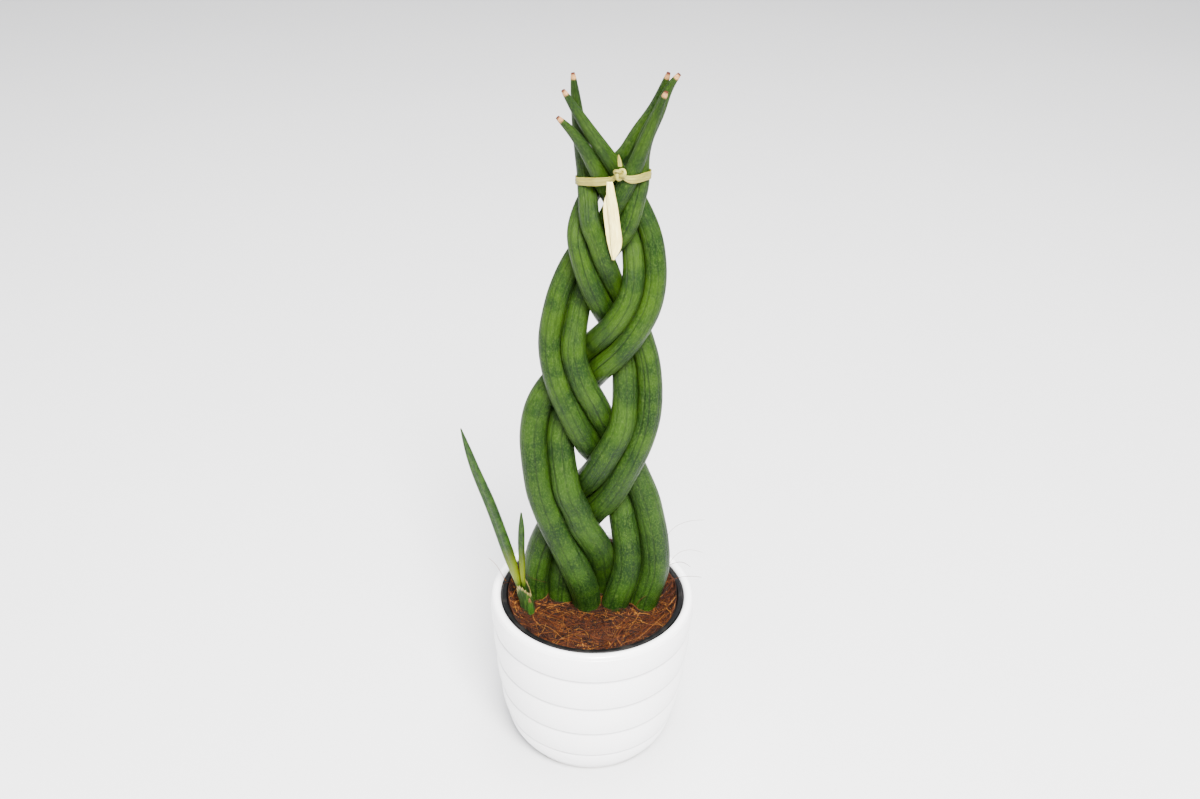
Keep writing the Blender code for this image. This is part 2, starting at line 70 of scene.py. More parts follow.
class Shade:
    """A socket of a material's nodes. Arithmetic on it adds Math nodes to the same tree."""

    def __init__(self, tree, socket=None):
        self.tree, self.socket = tree, socket

    def node(self, kind, settings=None, inputs=None, output=0):
        """Any node: its settings come first, then values or links for its named sockets."""
        made = self.tree.nodes.new("ShaderNode" + kind)
        for key, value in (settings or {}).items():
            if key == "stops":
                ends = made.color_ramp.elements
                ends[0].position, ends[1].position = value[0][0], value[-1][0]
                for place, _ in value[1:-1]:
                    ends.new(place)
                for stop, (_, colour) in zip(ends, value):
                    stop.color = colour
            else:
                setattr(made, key, value)
        for key, value in (inputs or {}).items():
            if isinstance(value, Shade):
                self.tree.links.new(value.socket, made.inputs[key])
            else:
                made.inputs[key].default_value = value
        return Shade(self.tree, made.outputs[output] if made.outputs else None)

    def maths(self, operation, *values):
        """A Math node on any mix of numbers and sockets."""
        return self.node("Math", {"operation": operation}, dict(enumerate(values)))

    def __add__(self, other):
        return self.maths("ADD", self, other)

    def __sub__(self, other):
        return self.maths("SUBTRACT", self, other)

    def __rsub__(self, other):
        return self.maths("SUBTRACT", other, self)

    def __mul__(self, other):
        return self.maths("MULTIPLY", self, other)

    __radd__, __rmul__ = __add__, __mul__

    def rising(self, low, high):
        """0 below low, 1 above high and a smooth step between them."""
        ends = {"Value": self, "From Min": low, "From Max": high}
        return self.node("MapRange", {"interpolation_type": "SMOOTHSTEP"}, ends)

    def mix(self, first, second):
        """The first colour where this is 0 and the second where it is 1."""
        return self.node("Mix", {"data_type": "RGBA"}, {0: self, 6: first, 7: second}, 2)

    def stretched(self, vector, scale):
        """The vector with each of its axes scaled."""
        return self.node("VectorMath", {"operation": "MULTIPLY"}, {0: vector, 1: scale})

    def place(self):
        """Object coordinates, in metres."""
        return self.node("TexCoord", output="Object")

    def stored(self, name, output="Fac"):
        """A value or vector that the mesh stores at each point."""
        return self.node("Attribute", {"attribute_name": name}, output=output)

    def noise(self, vector, scale, detail=2.0, rough=0.5):
        """Perlin noise between 0 and 1, mostly near a half."""
        inputs = {"Vector": vector, "Scale": scale, "Detail": detail, "Roughness": rough}
        return self.node("TexNoise", None, inputs)

    def bump(self, height, distance, strength=1.0):
        """A normal that tilts as if the surface rose by height times distance."""
        return self.node("Bump", None, {"Height": height, "Distance": distance, "Strength": strength})


def finish_of(name, recipe):
    """A material whose Principled inputs are what the recipe returns for its empty tree."""
    made = bpy.data.materials.new(name)
    made.use_nodes = True
    made.node_tree.nodes.clear()
    start = Shade(made.node_tree)
    start.node("OutputMaterial", None, {"Surface": start.node("BsdfPrincipled", None, recipe(start))})
    return made


def put(name, points, faces, finish, values=None):
    """A smooth mesh object in the scene. values holds a number or vector for each point."""
    mesh = bpy.data.meshes.new(name)
    mesh.from_pydata(points.tolist(), [], faces)
    for key, value in (values or {}).items():
        kind, field = ("FLOAT_VECTOR", "vector") if value.ndim == 2 else ("FLOAT", "value")
        mesh.attributes.new(key, kind, "POINT").data.foreach_set(
            field, value.astype(np.float32).ravel())
    mesh.polygons.foreach_set("use_smooth", [True] * len(mesh.polygons))
    mesh.materials.append(finish)
    made = bpy.data.objects.new(name, mesh)
    bpy.context.scene.collection.objects.link(made)
    return made


def floor_finish(shade):
    grain = shade.noise(shade.place(), 3.0, 3.0)
    return {"Base Color": grain.mix((0.60, 0.60, 0.61, 1), (0.64, 0.64, 0.645, 1)), "Roughness": 0.75}


floor_corners = np.array([(-1, -1, 0), (1, -1, 0), (1, 1, 0), (-1, 1, 0)]) * FLOOR_SIZE / 2
floor = put("floor", floor_corners, [(0, 1, 2, 3)], finish_of("pale_floor", floor_finish))

sky = bpy.data.worlds.new("overcast_sky")
sky.use_nodes = True
sky.node_tree.nodes["Background"].inputs["Color"].default_value = SKY_COLOUR
sky.node_tree.nodes["Background"].inputs["Strength"].default_value = SKY_STRENGTH
bpy.context.scene.world = sky

for name, (place, size, power, colour) in WINDOW_LIGHTS.items():
    light = bpy.data.lights.new(name, "AREA")
    light.shape, light.size, light.energy, light.color = "SQUARE", size, power, colour
    lamp = bpy.data.objects.new(name, light)
    lamp.location = place
    lamp.rotation_euler = (PLANT_MIDDLE - Vector(place)).to_track_quat("-Z", "Y").to_euler()
    bpy.context.scene.collection.objects.link(lamp)

ahead = Vector((0, math.cos(CAMERA_PITCH), -math.sin(CAMERA_PITCH)))
right = Vector((1, 0, 0))
above = right.cross(ahead)
turned_right = right * math.cos(CAMERA_ROLL) + above * math.sin(CAMERA_ROLL)
turned_up = above * math.cos(CAMERA_ROLL) - right * math.sin(CAMERA_ROLL)
camera = bpy.data.objects.new("camera", bpy.data.cameras.new("camera"))
camera.data.lens = CAMERA_LENS
camera.matrix_world = Matrix.Translation(CAMERA_PLACE) @ Matrix(
    (turned_right, turned_up, -ahead)).transposed().to_4x4()
bpy.context.scene.collection.objects.link(camera)
bpy.context.scene.camera = camera


# ---- ceramic pot ---------------------------------------------------------------------------
# The outer pot is thrown white stoneware under a satin glaze. Five swelling bands with soft
# grooves between them run round it, and it stands on an unglazed foot.
POT_HEIGHT, POT_RIM_RADIUS, POT_FOOT_RADIUS, POT_WALL, POT_FLOOR = 116.5, 67, 48, 6, 7
POT_GROOVES = [(22.5, 58.2), (45, 61.9), (69, 64.2), (94, 65.9)]  # height and radius
# How far each band swells, how deep its groove is cut, and the groove's half width.
POT_SWELL, POT_NOTCH, POT_NOTCH_WIDTH = 1.1, 0.7, 0.75
# The painted shade that greys the glaze in a groove shows only outside this radius, on the pot's wall.
GROOVE_SHADE_WIDTH, GROOVE_SHADE_RADIUS = 0.9, 56
POT_STEPS = 240


def lathe(name, profile, steps, finish):
    """The profile (radius and height in millimetres) turned round Z, up the outside first.

    Stored: groove, 1 in the middle of a groove of the pot and 0 away from it, where shade is painted on
    the glaze.
    """
    turns = np.linspace(0, 2 * math.pi, steps, endpoint=False)
    radius, height = np.maximum(profile[:, 0], 0.01)[:, None], profile[:, 1][:, None]
    rings = np.stack([radius * np.cos(turns), radius * np.sin(turns), height + 0 * turns], axis=-1)
    groove = sum(np.exp(-((height - middle) / GROOVE_SHADE_WIDTH) ** 2) for middle, _ in POT_GROOVES)
    groove = groove * (radius > GROOVE_SHADE_RADIUS) * (1 + 0 * turns)
    return skin(name, rings * MM, finish, {"groove": groove.ravel()})


def skin(name, rings, finish, values=None, closed=True):
    """An object over a grid of points whose rows run along the piece and columns round it.

    Closed columns join the last to the first, and the first and last rows get an end face.
    """
    rows, columns = rings.shape[:2]
    index = np.arange(rows * columns).reshape(rows, columns)
    here, beside = (index, np.roll(index, -1, axis=1)) if closed else (index[:, :-1], index[:, 1:])
    cells = np.stack([here[:-1], beside[:-1], beside[1:], here[1:]], axis=-1).reshape(-1, 4).tolist()
    if closed:
        cells += [index[0, ::-1].tolist(), index[-1].tolist()]
    return put(name, rings.reshape(-1, 3), cells, finish, values)


def pot_outside(count=240):
    """Radii and heights up the outside: straight between grooves, plus half a sine, less a notch."""
    levels = np.array([(1.5, POT_FOOT_RADIUS), *POT_GROOVES, (POT_HEIGHT - POT_WALL / 2, POT_RIM_RADIUS)])
    height = np.linspace(levels[0, 0], levels[-1, 0], count)
    band = np.clip(np.searchsorted(levels[:, 0], height, side="right") - 1, 0, len(levels) - 2)
    share = (height - levels[band, 0]) / (levels[band + 1, 0] - levels[band, 0])
    swell = np.where(band == 0, 2 * POT_SWELL, POT_SWELL) * np.sin(math.pi * share)
    radius = np.interp(height, levels[:, 0], levels[:, 1]) + swell
    blur = np.hanning(9) / np.hanning(9).sum()
    soft = np.convolve(np.pad(radius, 4, mode="edge"), blur, mode="valid")
    notch = sum(np.exp(-((height - middle) / POT_NOTCH_WIDTH) ** 2) for middle, _ in POT_GROOVES)
    return np.c_[soft - POT_NOTCH * notch, height]


def arc(middle, radius, start, end, count):
    """Points on an arc between two angles in degrees."""
    turn = np.radians(np.linspace(start, end, count))
    return np.c_[middle[0] + radius * np.cos(turn), middle[1] + radius * np.sin(turn)]


def glaze_finish(shade):
    """White glaze with faint clouds and pits, painted shade in the grooves, bare clay at the foot."""
    place = shade.place()
    height = shade.node("SeparateXYZ", None, {"Vector": place}, "Z")
    bare = 1 - height.rising(0.0004, 0.0012)
    groove = shade.stored("groove")
    cloud = shade.noise(place, 26, 3)
    pits = shade.noise(place, 900, 1)
    white = cloud.mix((0.86, 0.85, 0.865, 1), (0.90, 0.895, 0.90, 1))
    # Painted shade: the glaze turns grey in the grooves, where shade would fall.
    white = (groove * 0.75).mix(white, (0.36, 0.345, 0.37, 1))
    return {
        "Base Color": bare.mix(white, (0.62, 0.57, 0.50, 1)),
        "Roughness": 0.26 + cloud * 0.08 + bare * 0.45,
        "Coat Weight": 0.55 - bare * 0.55,
        "Coat Roughness": 0.09,
        "Specular IOR Level": 0.5,
        "Normal": shade.bump(pits * 0.35 + shade.noise(place, 60, 2), 0.0005, 0.35),
    }


rim_middle = (POT_RIM_RADIUS - POT_WALL / 2, POT_HEIGHT - POT_WALL / 2)
inside = pot_outside()[::-6] - (POT_WALL, 0)
inside = inside[inside[:, 1] > 20]
pot = lathe("glazed_pot", np.vstack([
    [(0, 0)], arc((POT_FOOT_RADIUS - 1.5, 1.5), 1.5, -90, 0, 5), pot_outside(),
    arc(rim_middle, POT_WALL / 2, 0, 180, 18), inside,
    [(50, POT_FLOOR + 6), (44, POT_FLOOR), (0, POT_FLOOR)]]),
    POT_STEPS, finish_of("white_glaze", glaze_finish))
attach(pot, "root")
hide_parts("ceramic_pot")


# ---- nursery pot ---------------------------------------------------------------------------
# The plant grows in a thin black polypropylene pot that hangs inside the ceramic one. Its
# rolled lip shows as a dark ring with dust along its top edge.
LINER_TOP, LINER_LIP_RADIUS, LINER_LIP_HEIGHT = 114.8, 60.3, 5
LINER_TOP_RADIUS, LINER_BASE_RADIUS, LINER_WALL, LINER_BASE = 58.2, 43, 1.2, 7.35


def liner_radius(height):
    """Outer radius of the tapering wall, in a straight line from its base to its top."""
    share = (height - LINER_BASE) / (LINER_TOP - LINER_BASE)
    return LINER_BASE_RADIUS + (LINER_TOP_RADIUS - LINER_BASE_RADIUS) * share


def black_plastic(shade):
    """Satin black plastic with upright scuffs and patches of brown dust."""
    place = shade.place()
    scuffs = shade.noise(shade.stretched(place, (300, 300, 40)), 1.0, 3)
    dust = shade.noise(place, 160, 4).rising(0.48, 0.72)
    return {
        "Base Color": (dust * 0.5).mix((0.0015, 0.0015, 0.0017, 1), (0.014, 0.012, 0.010, 1)),
        "Roughness": 0.42 + dust * 0.3,
        "Specular IOR Level": 0.15,
        "Normal": shade.bump(scuffs, 0.0003, 0.3),
    }


under_lip = LINER_TOP - LINER_LIP_HEIGHT
liner_inside = liner_radius(LINER_TOP) - LINER_WALL
liner = lathe("nursery_liner", np.vstack([
    [(0, LINER_BASE), (liner_radius(LINER_BASE) - 2, LINER_BASE), (liner_radius(10.3), 10.3),
     (liner_radius(under_lip), under_lip)],
    arc((LINER_LIP_RADIUS - 0.5, under_lip + 0.5), 0.5, -90, 0, 4),
    arc((LINER_LIP_RADIUS - 0.9, LINER_TOP - 0.9), 0.9, 0, 90, 7),
    arc((liner_inside + 0.6, LINER_TOP - 0.6), 0.6, 90, 180, 5),
    [(liner_radius(100) - LINER_WALL, 100), (liner_radius(13.3) - LINER_WALL, 13.3),
     (liner_radius(LINER_BASE) - 2.4, LINER_BASE + LINER_WALL), (0, LINER_BASE + LINER_WALL)]]),
    POT_STEPS, finish_of("black_plastic", black_plastic))
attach(liner, "root")
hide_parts("nursery_pot")


# ---- potting mix and rhizome ---------------------------------------------------------------
# Dark peat with bark crumbs fills the nursery pot. The woody rhizome that the leaves grow from
# lies in it. Both are under the coir, so they keep their plain shapes.


def peat_finish(shade):
    """Dark damp peat with crumbs of bark."""
    place = shade.place()
    crumbs = shade.node("TexVoronoi", None, {"Vector": place, "Scale": 420})
    tone = shade.noise(place, 700, 4).rising(0.35, 0.7)
    return {
        "Base Color": tone.mix((0.016, 0.009, 0.006, 1), (0.075, 0.042, 0.024, 1)),
        "Roughness": 0.95,
        "Normal": shade.bump(crumbs + shade.noise(place, 1500, 2) * 0.5, 0.0012),
    }


def rhizome_finish(shade):
    """Tan woody skin with darker rings across its length."""
    place = shade.place()
    rings = shade.noise(shade.stretched(place, (700, 120, 120)), 1.0, 2)
    return {
        "Base Color": rings.rising(0.4, 0.65).mix((0.50, 0.27, 0.08, 1), (0.22, 0.10, 0.035, 1)),
        "Roughness": 0.7,
        "Normal": shade.bump(rings, 0.0006),
    }


for node, finish in (("potting_mix", finish_of("peat", peat_finish)),
                     ("rhizome", finish_of("rhizome_skin", rhizome_finish))):
    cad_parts[node].data.materials.clear()
    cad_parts[node].data.materials.append(finish)


# ---- plaited leaves ------------------------------------------------------------------------
# Six firm round leaves, two to a strand, plaited in three. Their skin is deep green with a
# satin wax, pale granular flecks, faint cross bands, a dry brown tip and thin furrows with
# painted shade in them.
# Across, depth and height of each centreline and the leaf's radius, in millimetres.
LEAVES = {
    "leaf_low_left": (9.8, [
        (-3, -4, 84), (-4, -6, 112), (-9, -10, 138), (-20, -10, 163), (-33, -8, 196), (-38, -1, 231),
        (-34, 5, 258), (-21, 8, 278), (-8, 5, 295), (10, -6, 322), (19, -5, 343), (18, 3, 363),
        (9, 5, 387), (-2, -6, 414), (-17, -7, 437), (-24, -7, 444)]),
    "leaf_low_left_inner": (9.6, [
        (8, 15, 84), (8, 11, 112), (5, -2, 146), (-6, -9, 180), (-17, -7, 209), (-22, 0, 238),
        (-18.5, 6, 257), (-8, 8, 270), (6, 0, 290), (18, -8, 309), (30, -6, 330), (33, 0, 352),
        (29, 5, 375), (19.5, 8, 394), (6, -5, 418), (-7, -5, 437), (-21, -4, 458)]),
    "leaf_back_left": (9.4, [
        (-36, 5, 84), (-38, 5, 116), (-33, 6, 149), (-19, 8, 177), (-5, 3, 202), (5, -8, 231),
        (14, -7, 252), (16, 1, 278), (10, 7, 305), (2, 1, 325), (-6, -8, 349), (-12, -1, 371),
        (-10, 7, 385), (-2, 9, 400), (13, 10, 417), (20, 10, 430), (27, 9, 442), (35, 5, 466)]),
    "leaf_back_centre": (9.4, [
        (-17, 2, 84), (-20, 3, 120), (-12, 8, 157), (2, 4, 182), (17, -8, 213), (29, -6, 241),
        (33, 0, 272), (28, 6, 300), (16, 6, 328), (8, 0, 345), (2, -8, 368), (-5, -4, 388),
        (-8, 4, 405), (-11, 5, 425), (-16, 4, 465)]),
    "leaf_right_inner": (9.4, [
        (12, -5, 84), (15, -4, 114), (22, 0, 142), (20, 3, 166), (12, 7, 192), (1, 3, 220),
        (-11, -8, 249), (-22, -7, 274), (-28, -1, 300), (-24, 4, 330), (-13, 8, 358), (0, 1, 377),
        (10, -7, 396), (19, -7, 418), (28, -6, 443), (34, -6, 459)]),
    "leaf_right_outer": (9.6, [
        (30, -3, 84), (36, -2, 116), (40, 0, 149), (35, 4, 180), (22, 8, 213), (9, 2, 239),
        (-1, -8, 268), (-10, -6, 288), (-13, 0, 308), (-8, 6, 335), (2, 6, 356), (14, -6, 382),
        (17.5, -4, 396), (20.5, 3, 411), (24, 3, 430), (31, 3, 446), (36, 3, 459), (41, 3, 466)]),
}
LEAF_WAIST, LEAF_NARROWING, LEAF_FALL, LEAF_TIP_START, LEAF_TIP_END = 0.15, 0.55, 1.4, 0.80, 0.97
LEAF_FULLNESS = 1.03  # makes up for the furrows and presses touching leaves together
SETTLE_SAMPLES, SETTLE_ROUNDS, SETTLE_CLEARANCE, SETTLE_STILL = 160, 120, 0.1, 0.004
# The first rounds draw leaves with a gap below this, in millimetres, towards each other.
SETTLE_DRAWS, SETTLE_REACH, SETTLE_SPREAD = 3, 3.6, 27
SETTLE_SHARE = np.array([0.5, 1.0, 0.3])  # of each move, across, in depth and in height
LEAF_ROWS, LEAF_COLUMNS = 260, 144
LEAF_FURROWS = 9
# FURROW_WIDTH is the half width of the painted shade along each furrow.
FURROW_WIDTH, FURROW_DENT_WIDTH, FURROW_DIP_WIDTH = 0.056, 0.09, 0.26  # radians
# The sharp dent of a furrow and the shallow dip round it, as shares of the leaf's radius.
FURROW_DENT, FURROW_DIP = 0.009, 0.005
DRY_TIP = 3.4  # millimetres


def smooth_path(stations, count):
    """Natural cubic spline through the stations, resampled at even steps of length."""
    knots = np.array(stations, float)
    along = np.r_[0, np.cumsum(np.linalg.norm(np.diff(knots[:, :3], axis=0), axis=1))]
    step = np.diff(along)[:, None]
    slope = np.diff(knots, axis=0) / step
    size = len(knots)
    system, wanted = np.eye(size), np.zeros_like(knots)
    for i in range(1, size - 1):
        before, after = step[i - 1, 0], step[i, 0]
        system[i, i - 1:i + 2] = before, 2 * (before + after), after
        wanted[i] = 6 * (slope[i] - slope[i - 1])
    bend = np.linalg.solve(system, wanted)

    def place(lengths):
        span = np.clip(np.searchsorted(along, lengths, side="right") - 1, 0, size - 2)
        left, beyond = (along[span + 1] - lengths)[:, None], (lengths - along[span])[:, None]
        wide = step[span]
        return ((bend[span] * left**3 + bend[span + 1] * beyond**3) / (6 * wide)
                + (knots[span] / wide - bend[span] * wide / 6) * left
                + (knots[span + 1] / wide - bend[span + 1] * wide / 6) * beyond)

    fine = np.linspace(0, along[-1], 900)
    walked = place(fine)
    lengths = np.r_[0, np.cumsum(np.linalg.norm(np.diff(walked[:, :3], axis=0), axis=1))]
    return place(np.interp(np.linspace(0, lengths[-1], count), lengths, fine))


def leaf_radii(thickest, share):
    """Radius along a leaf: a waist at the foot, a curved narrowing and an elliptical tip."""
    waist = 1 - LEAF_WAIST * np.clip(1 - share / LEAF_WAIST, 0, 1) ** 2
    closing = LEAF_TIP_END * np.clip((share - LEAF_TIP_START) / (1 - LEAF_TIP_START), 0, 1)
    return thickest * waist * (1 - LEAF_NARROWING * share**LEAF_FALL) * np.sqrt(1 - closing**2)


def settle(paths, radii):
    """Moves the centrelines until neighbouring leaves touch and none cuts through another.

    First leaves with a small gap are drawn together by part of it, spread over a long stretch
    of the leaf. Then, where two overlap, each gives way by half of the overlap along the line
    between their centres, mostly in depth, spread by a short triangular average.
    """
    narrow = np.array([1, 2, 3, 4, 3, 2, 1]) / 16
    wide = np.hanning(SETTLE_SPREAD) / np.hanning(SETTLE_SPREAD).sum()
    row = np.arange(SETTLE_SAMPLES)
    for turn in range(SETTLE_ROUNDS):
        spread = wide if turn < SETTLE_DRAWS else narrow
        moves = {name: np.zeros_like(path) for name, path in paths.items()}
        for first, second in combinations(paths, 2):
            away = paths[first][:, None] - paths[second][None]
            apart = np.linalg.norm(away, axis=2)
            short = radii[first][:, None] + radii[second][None] + SETTLE_CLEARANCE - apart
            for name, lack, direction in (
                    (first, short, away), (second, short.T, -away.transpose(1, 0, 2))):
                near = lack.argmax(axis=1)
                unit = direction[row, near] / np.linalg.norm(direction[row, near], axis=1)[:, None]
                overlap = np.clip(lack[row, near], 0, None)
                gap = np.clip(-lack[row, near], 0, SETTLE_REACH)
                draw = gap * (1 - gap / SETTLE_REACH) * (turn < SETTLE_DRAWS)
                moves[name] += unit * (overlap - draw)[:, None] / 2
        if max(np.abs(move).max() for move in moves.values()) < SETTLE_STILL:
            break
        for name, move in moves.items():
            ends = len(spread) // 2
            padded = np.pad(move * SETTLE_SHARE, ((ends, ends), (0, 0)), mode="edge")
            paths[name] = paths[name] + sum(
                weight * padded[i:i + SETTLE_SAMPLES] for i, weight in enumerate(spread))
    return paths


def crosswise(path, reference):
    """Unit side and depth directions at each point, square to the path."""
    ahead = np.gradient(path, axis=-2)
    ahead /= np.linalg.norm(ahead, axis=-1, keepdims=True)
    side = np.cross(np.broadcast_to(reference, ahead.shape), ahead)
    side /= np.linalg.norm(side, axis=-1, keepdims=True) + 1e-9
    return side, np.cross(ahead, side)


def leaf_finish(shade):
    """Green skin with painted shade in its furrows. Stored: wrap, the leaf unrolled with its radius as
    unit; furrow; tip; share.
    """
    wrap, place = shade.stored("wrap", "Vector"), shade.place()
    furrow, tip, share = shade.stored("furrow"), shade.stored("tip"), shade.stored("share")
    bands = shade.noise(shade.stretched(wrap, (0.32, 0.32, 0.62)), 1.0, 3, 0.6).rising(0.36, 0.66)
    streaks = shade.noise(shade.stretched(wrap, (16, 16, 0.9)), 1.0, 3, 0.55).rising(0.35, 0.7)
    flecks = shade.noise(shade.stretched(wrap, (9.5, 9.5, 7)), 1.0, 3, 0.7).rising(0.47, 0.66)
    scars = shade.noise(place, 240, 2, 0.6).rising(0.66, 0.74)
    low_green = bands.mix((0.0036, 0.0150, 0.0014, 1), (0.0140, 0.0380, 0.0024, 1))
    high_green = bands.mix((0.0040, 0.0175, 0.0006, 1), (0.0200, 0.0490, 0.0006, 1))
    green = share.rising(0.15, 0.75).mix(low_green, high_green)
    green = (share.rising(0.78, 0.95) * 0.45).mix(green, (0.005, 0.014, 0.0008, 1))
    green = (streaks * 0.35).mix(green, (0.002, 0.008, 0.001, 1))
    green = (flecks * 0.50).mix(green, (0.038, 0.078, 0.008, 1))
    green = (scars * 0.5).mix(green, (0.040, 0.070, 0.012, 1))
    # Painted shade: the furrows are darkened to near black, where shade would fall in them.
    green = (furrow * 0.85).mix(green, (0.001, 0.004, 0.0006, 1))
    dry = shade.noise(place, 420, 3).mix((0.22, 0.09, 0.035, 1), (0.52, 0.30, 0.12, 1))
    burnt = (1 - tip.rising(0.0, 0.45)).mix(dry, (0.06, 0.014, 0.008, 1))
    dead = 1 - (tip + flecks * 0.15).rising(0.75, 1.15)
    return {
        "Base Color": dead.mix(green, burnt),
        "Roughness": 0.42 + flecks * 0.12 + dead * 0.35,
        "Specular IOR Level": 0.12,
        "Normal": shade.bump(flecks * 0.5 + streaks * 0.5 - furrow * 0.8, 0.0004, 0.8),
    }


def grow_leaf(name, path, thickest, finish):
    """Rings of points round the centreline. Each is a circle less a row of narrow furrows."""
    share, samples = np.linspace(0, 1, LEAF_ROWS), np.linspace(0, 1, SETTLE_SAMPLES)
    blur = np.hanning(9) / np.hanning(9).sum()
    fine = [np.pad(np.interp(share, samples, axis), 4, mode="reflect", reflect_type="odd")
            for axis in path.T]
    fine = np.stack([np.convolve(axis, blur, mode="valid") for axis in fine], axis=1)
    radius = leaf_radii(thickest, share)[:, None]
    length = np.r_[0, np.cumsum(np.linalg.norm(np.diff(fine, axis=0), axis=1))][:, None]
    angle = np.linspace(-math.pi / 2, 1.5 * math.pi, LEAF_COLUMNS, endpoint=False)[None]
    places = np.arange(LEAF_FURROWS) + chance.uniform(-0.28, 0.28, LEAF_FURROWS)
    places *= 2 * math.pi / LEAF_FURROWS
    depths = chance.uniform(0.6, 1.0, LEAF_FURROWS)
    furrow, dent = np.zeros((LEAF_ROWS, LEAF_COLUMNS)), np.zeros((LEAF_ROWS, LEAF_COLUMNS))
    for middle, deep in zip(places, depths):
        drift = 0.09 * np.sin(length / chance.uniform(28, 60) + chance.uniform(0, 6))
        off = np.angle(np.exp(1j * (angle - middle - drift)))
        fade = 0.78 + 0.22 * np.sin(length / chance.uniform(18, 40) + chance.uniform(0, 6))
        furrow = np.maximum(furrow, deep * fade * np.exp(-(off / FURROW_WIDTH) ** 2))
        dent += deep * (FURROW_DENT * np.exp(-(off / FURROW_DENT_WIDTH) ** 2)
                        + FURROW_DIP * np.exp(-(off / FURROW_DIP_WIDTH) ** 2))
    swell = 0.006 * np.sin(length / 11 + chance.uniform(0, 6))
    swell = swell + 0.004 * np.sin(length / 4.3 + 2 * np.cos(angle))
    closing = np.clip((share[:, None] - 0.9) / 0.1, 0, 1)
    reach = radius * (LEAF_FULLNESS - dent * (1 - closing) + swell * (1 - closing))
    side, depth = crosswise(fine, (0, 1, 0))
    rings = (fine[:, None] + side[:, None] * (reach * np.cos(angle))[..., None]
             + depth[:, None] * (reach * np.sin(angle))[..., None])
    flat = np.ones_like(angle)
    wrap = np.stack([flat * np.cos(angle) + 0 * length, flat * np.sin(angle) + 0 * length,
                     length / 9 * flat], axis=-1) + chance.uniform(0, 40, 3) * (0, 0, 1)
    values = {"wrap": wrap.reshape(-1, 3), "furrow": furrow.ravel(),
              "tip": ((length[-1] - length) / DRY_TIP * flat).ravel(),
              "share": (share[:, None] * flat).ravel()}
    leaf = skin(name.replace("leaf_", "skin_"), rings * MM, finish, values)
    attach(leaf, "root")
    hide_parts(name)


leaf_skin = finish_of("leaf_skin", leaf_finish)
paths = {n: smooth_path(s, SETTLE_SAMPLES) for n, (_, s) in LEAVES.items()}
radii = {n: leaf_radii(r, np.linspace(0, 1, SETTLE_SAMPLES)) for n, (r, _) in LEAVES.items()}
paths = settle(paths, radii)
for name, path in paths.items():
    grow_leaf(name, path, LEAVES[name][0], leaf_skin)


# ---- coir topping --------------------------------------------------------------------------
# Reddish brown coconut fibre is packed over the mix. A felt of short fibres lies beneath,
# with thousands of springy strands on top and a few long ones that stray over the rim. The mat
# under the fibres is painted very dark: painted shade in the gaps between the strands.
COIR_CENTRE, COIR_EDGE, COIR_BUMP, COIR_DRIFT = 107.5, 104.0, 0.9, 9.5
COIR_REACH = 56.2
FELT_ROWS, FELT_COLUMNS, FELT_UNDERSIDE = 110, 360, 99.4
# Strands in each layer, then length, radius and arch in millimetres, as ranges.
FIBRE_LAYERS = {
    "coir_felt_fibres": (3200, (9, 26), (0.14, 0.24), (0.2, 1.6)),
    "coir_top_fibres": (2300, (16, 48), (0.12, 0.24), (0.8, 5.0)),
    "coir_coarse_fibres": (620, (16, 52), (0.22, 0.44), (0.6, 3.8)),
}
FIBRE_POINTS = 10
# Across, depth and height of the long loose strands, and their radius, in millimetres.
STRAY_FIBRES = [
    (0.20, [(-71, 22, 124), (-66, 17, 123), (-62, 12, 120), (-58, 9, 114), (-54, 6, 108)]),
    (0.22, [(-60, 3, 117), (-57, 6, 116), (-52, 9, 111), (-46, 12, 107)]),
    (0.12, [(-55, 5, 122), (-48, 3, 127), (-40, -6, 130), (-30, -8, 128)]),
    (0.17, [(-30, -18, 106), (-26, -18, 110), (-21, -18, 112), (-15, -19, 111), (-10, -20, 106)]),
    (0.22, [(27, -14, 106), (29, -13, 114), (32, -12, 119), (38, -10, 122), (52, 2, 124),
            (63, 8, 123), (73, 10, 121)]),
    (0.42, [(13, -44, 106), (16, -38, 108), (20, -31, 110), (24, -22, 110)]),
    (0.40, [(24, -38, 106), (33, -31, 109), (45, -17, 111), (57, 0, 111)]),
    (0.34, [(26, -41, 106), (35, -33, 109), (46, -20, 111), (57, -5, 110)]),
    (0.26, [(49, 16, 122), (53, 12, 119), (54, 8, 113), (53, 2, 108)]),
    (0.20, [(46, 24, 116), (53, 22, 122), (60, 22, 124), (66, 21, 121)]),
    (0.13, [(47, 18, 120), (48, 29, 133), (53, 33, 143), (64, 36, 148), (75, 38, 148)]),
    (0.13, [(50, 19, 118), (55, 23, 128), (63, 25, 132), (74, 24, 131)]),
    (0.20, [(-11, -35, 106), (-1, -30, 109), (9, -32, 109), (18, -38, 106)]),
    (0.16, [(-42, -28, 106), (-34, -30, 111), (-24, -36, 111), (-14, -44, 106)]),
    (0.18, [(-6, -24, 106), (4, -22, 113), (16, -24, 114), (26, -26, 107)]),
]
# Across, depth and radius of each stem where it comes up through the coir: leaves, then the pup.
PUP_FEET = [(-42.5, -10.5, 5.4), (-40.2, -16.6, 1.8)]
STEM_FEET = [(*path[np.abs(path[:, 2] - 107).argmin(), :2], radii[name][12])
             for name, path in paths.items()] + PUP_FEET


def ground(x, y):
    """Height of the coir in millimetres: a low mound, two waves and a drift up the pot's wall."""
    share = np.clip(np.hypot(x, y) / COIR_REACH, 0, 1)
    waves = np.sin(0.19 * x + 0.7) * np.cos(0.23 * y) + 0.6 * np.sin(0.37 * x - 0.31 * y + 1.9)
    drift = np.clip((share - 0.72) / 0.28, 0, 1) ** 2 * np.clip((y + 46) / 34, 0, 1)
    mound = COIR_CENTRE - (COIR_CENTRE - COIR_EDGE) * share**2
    return mound + COIR_BUMP * waves + COIR_DRIFT * drift


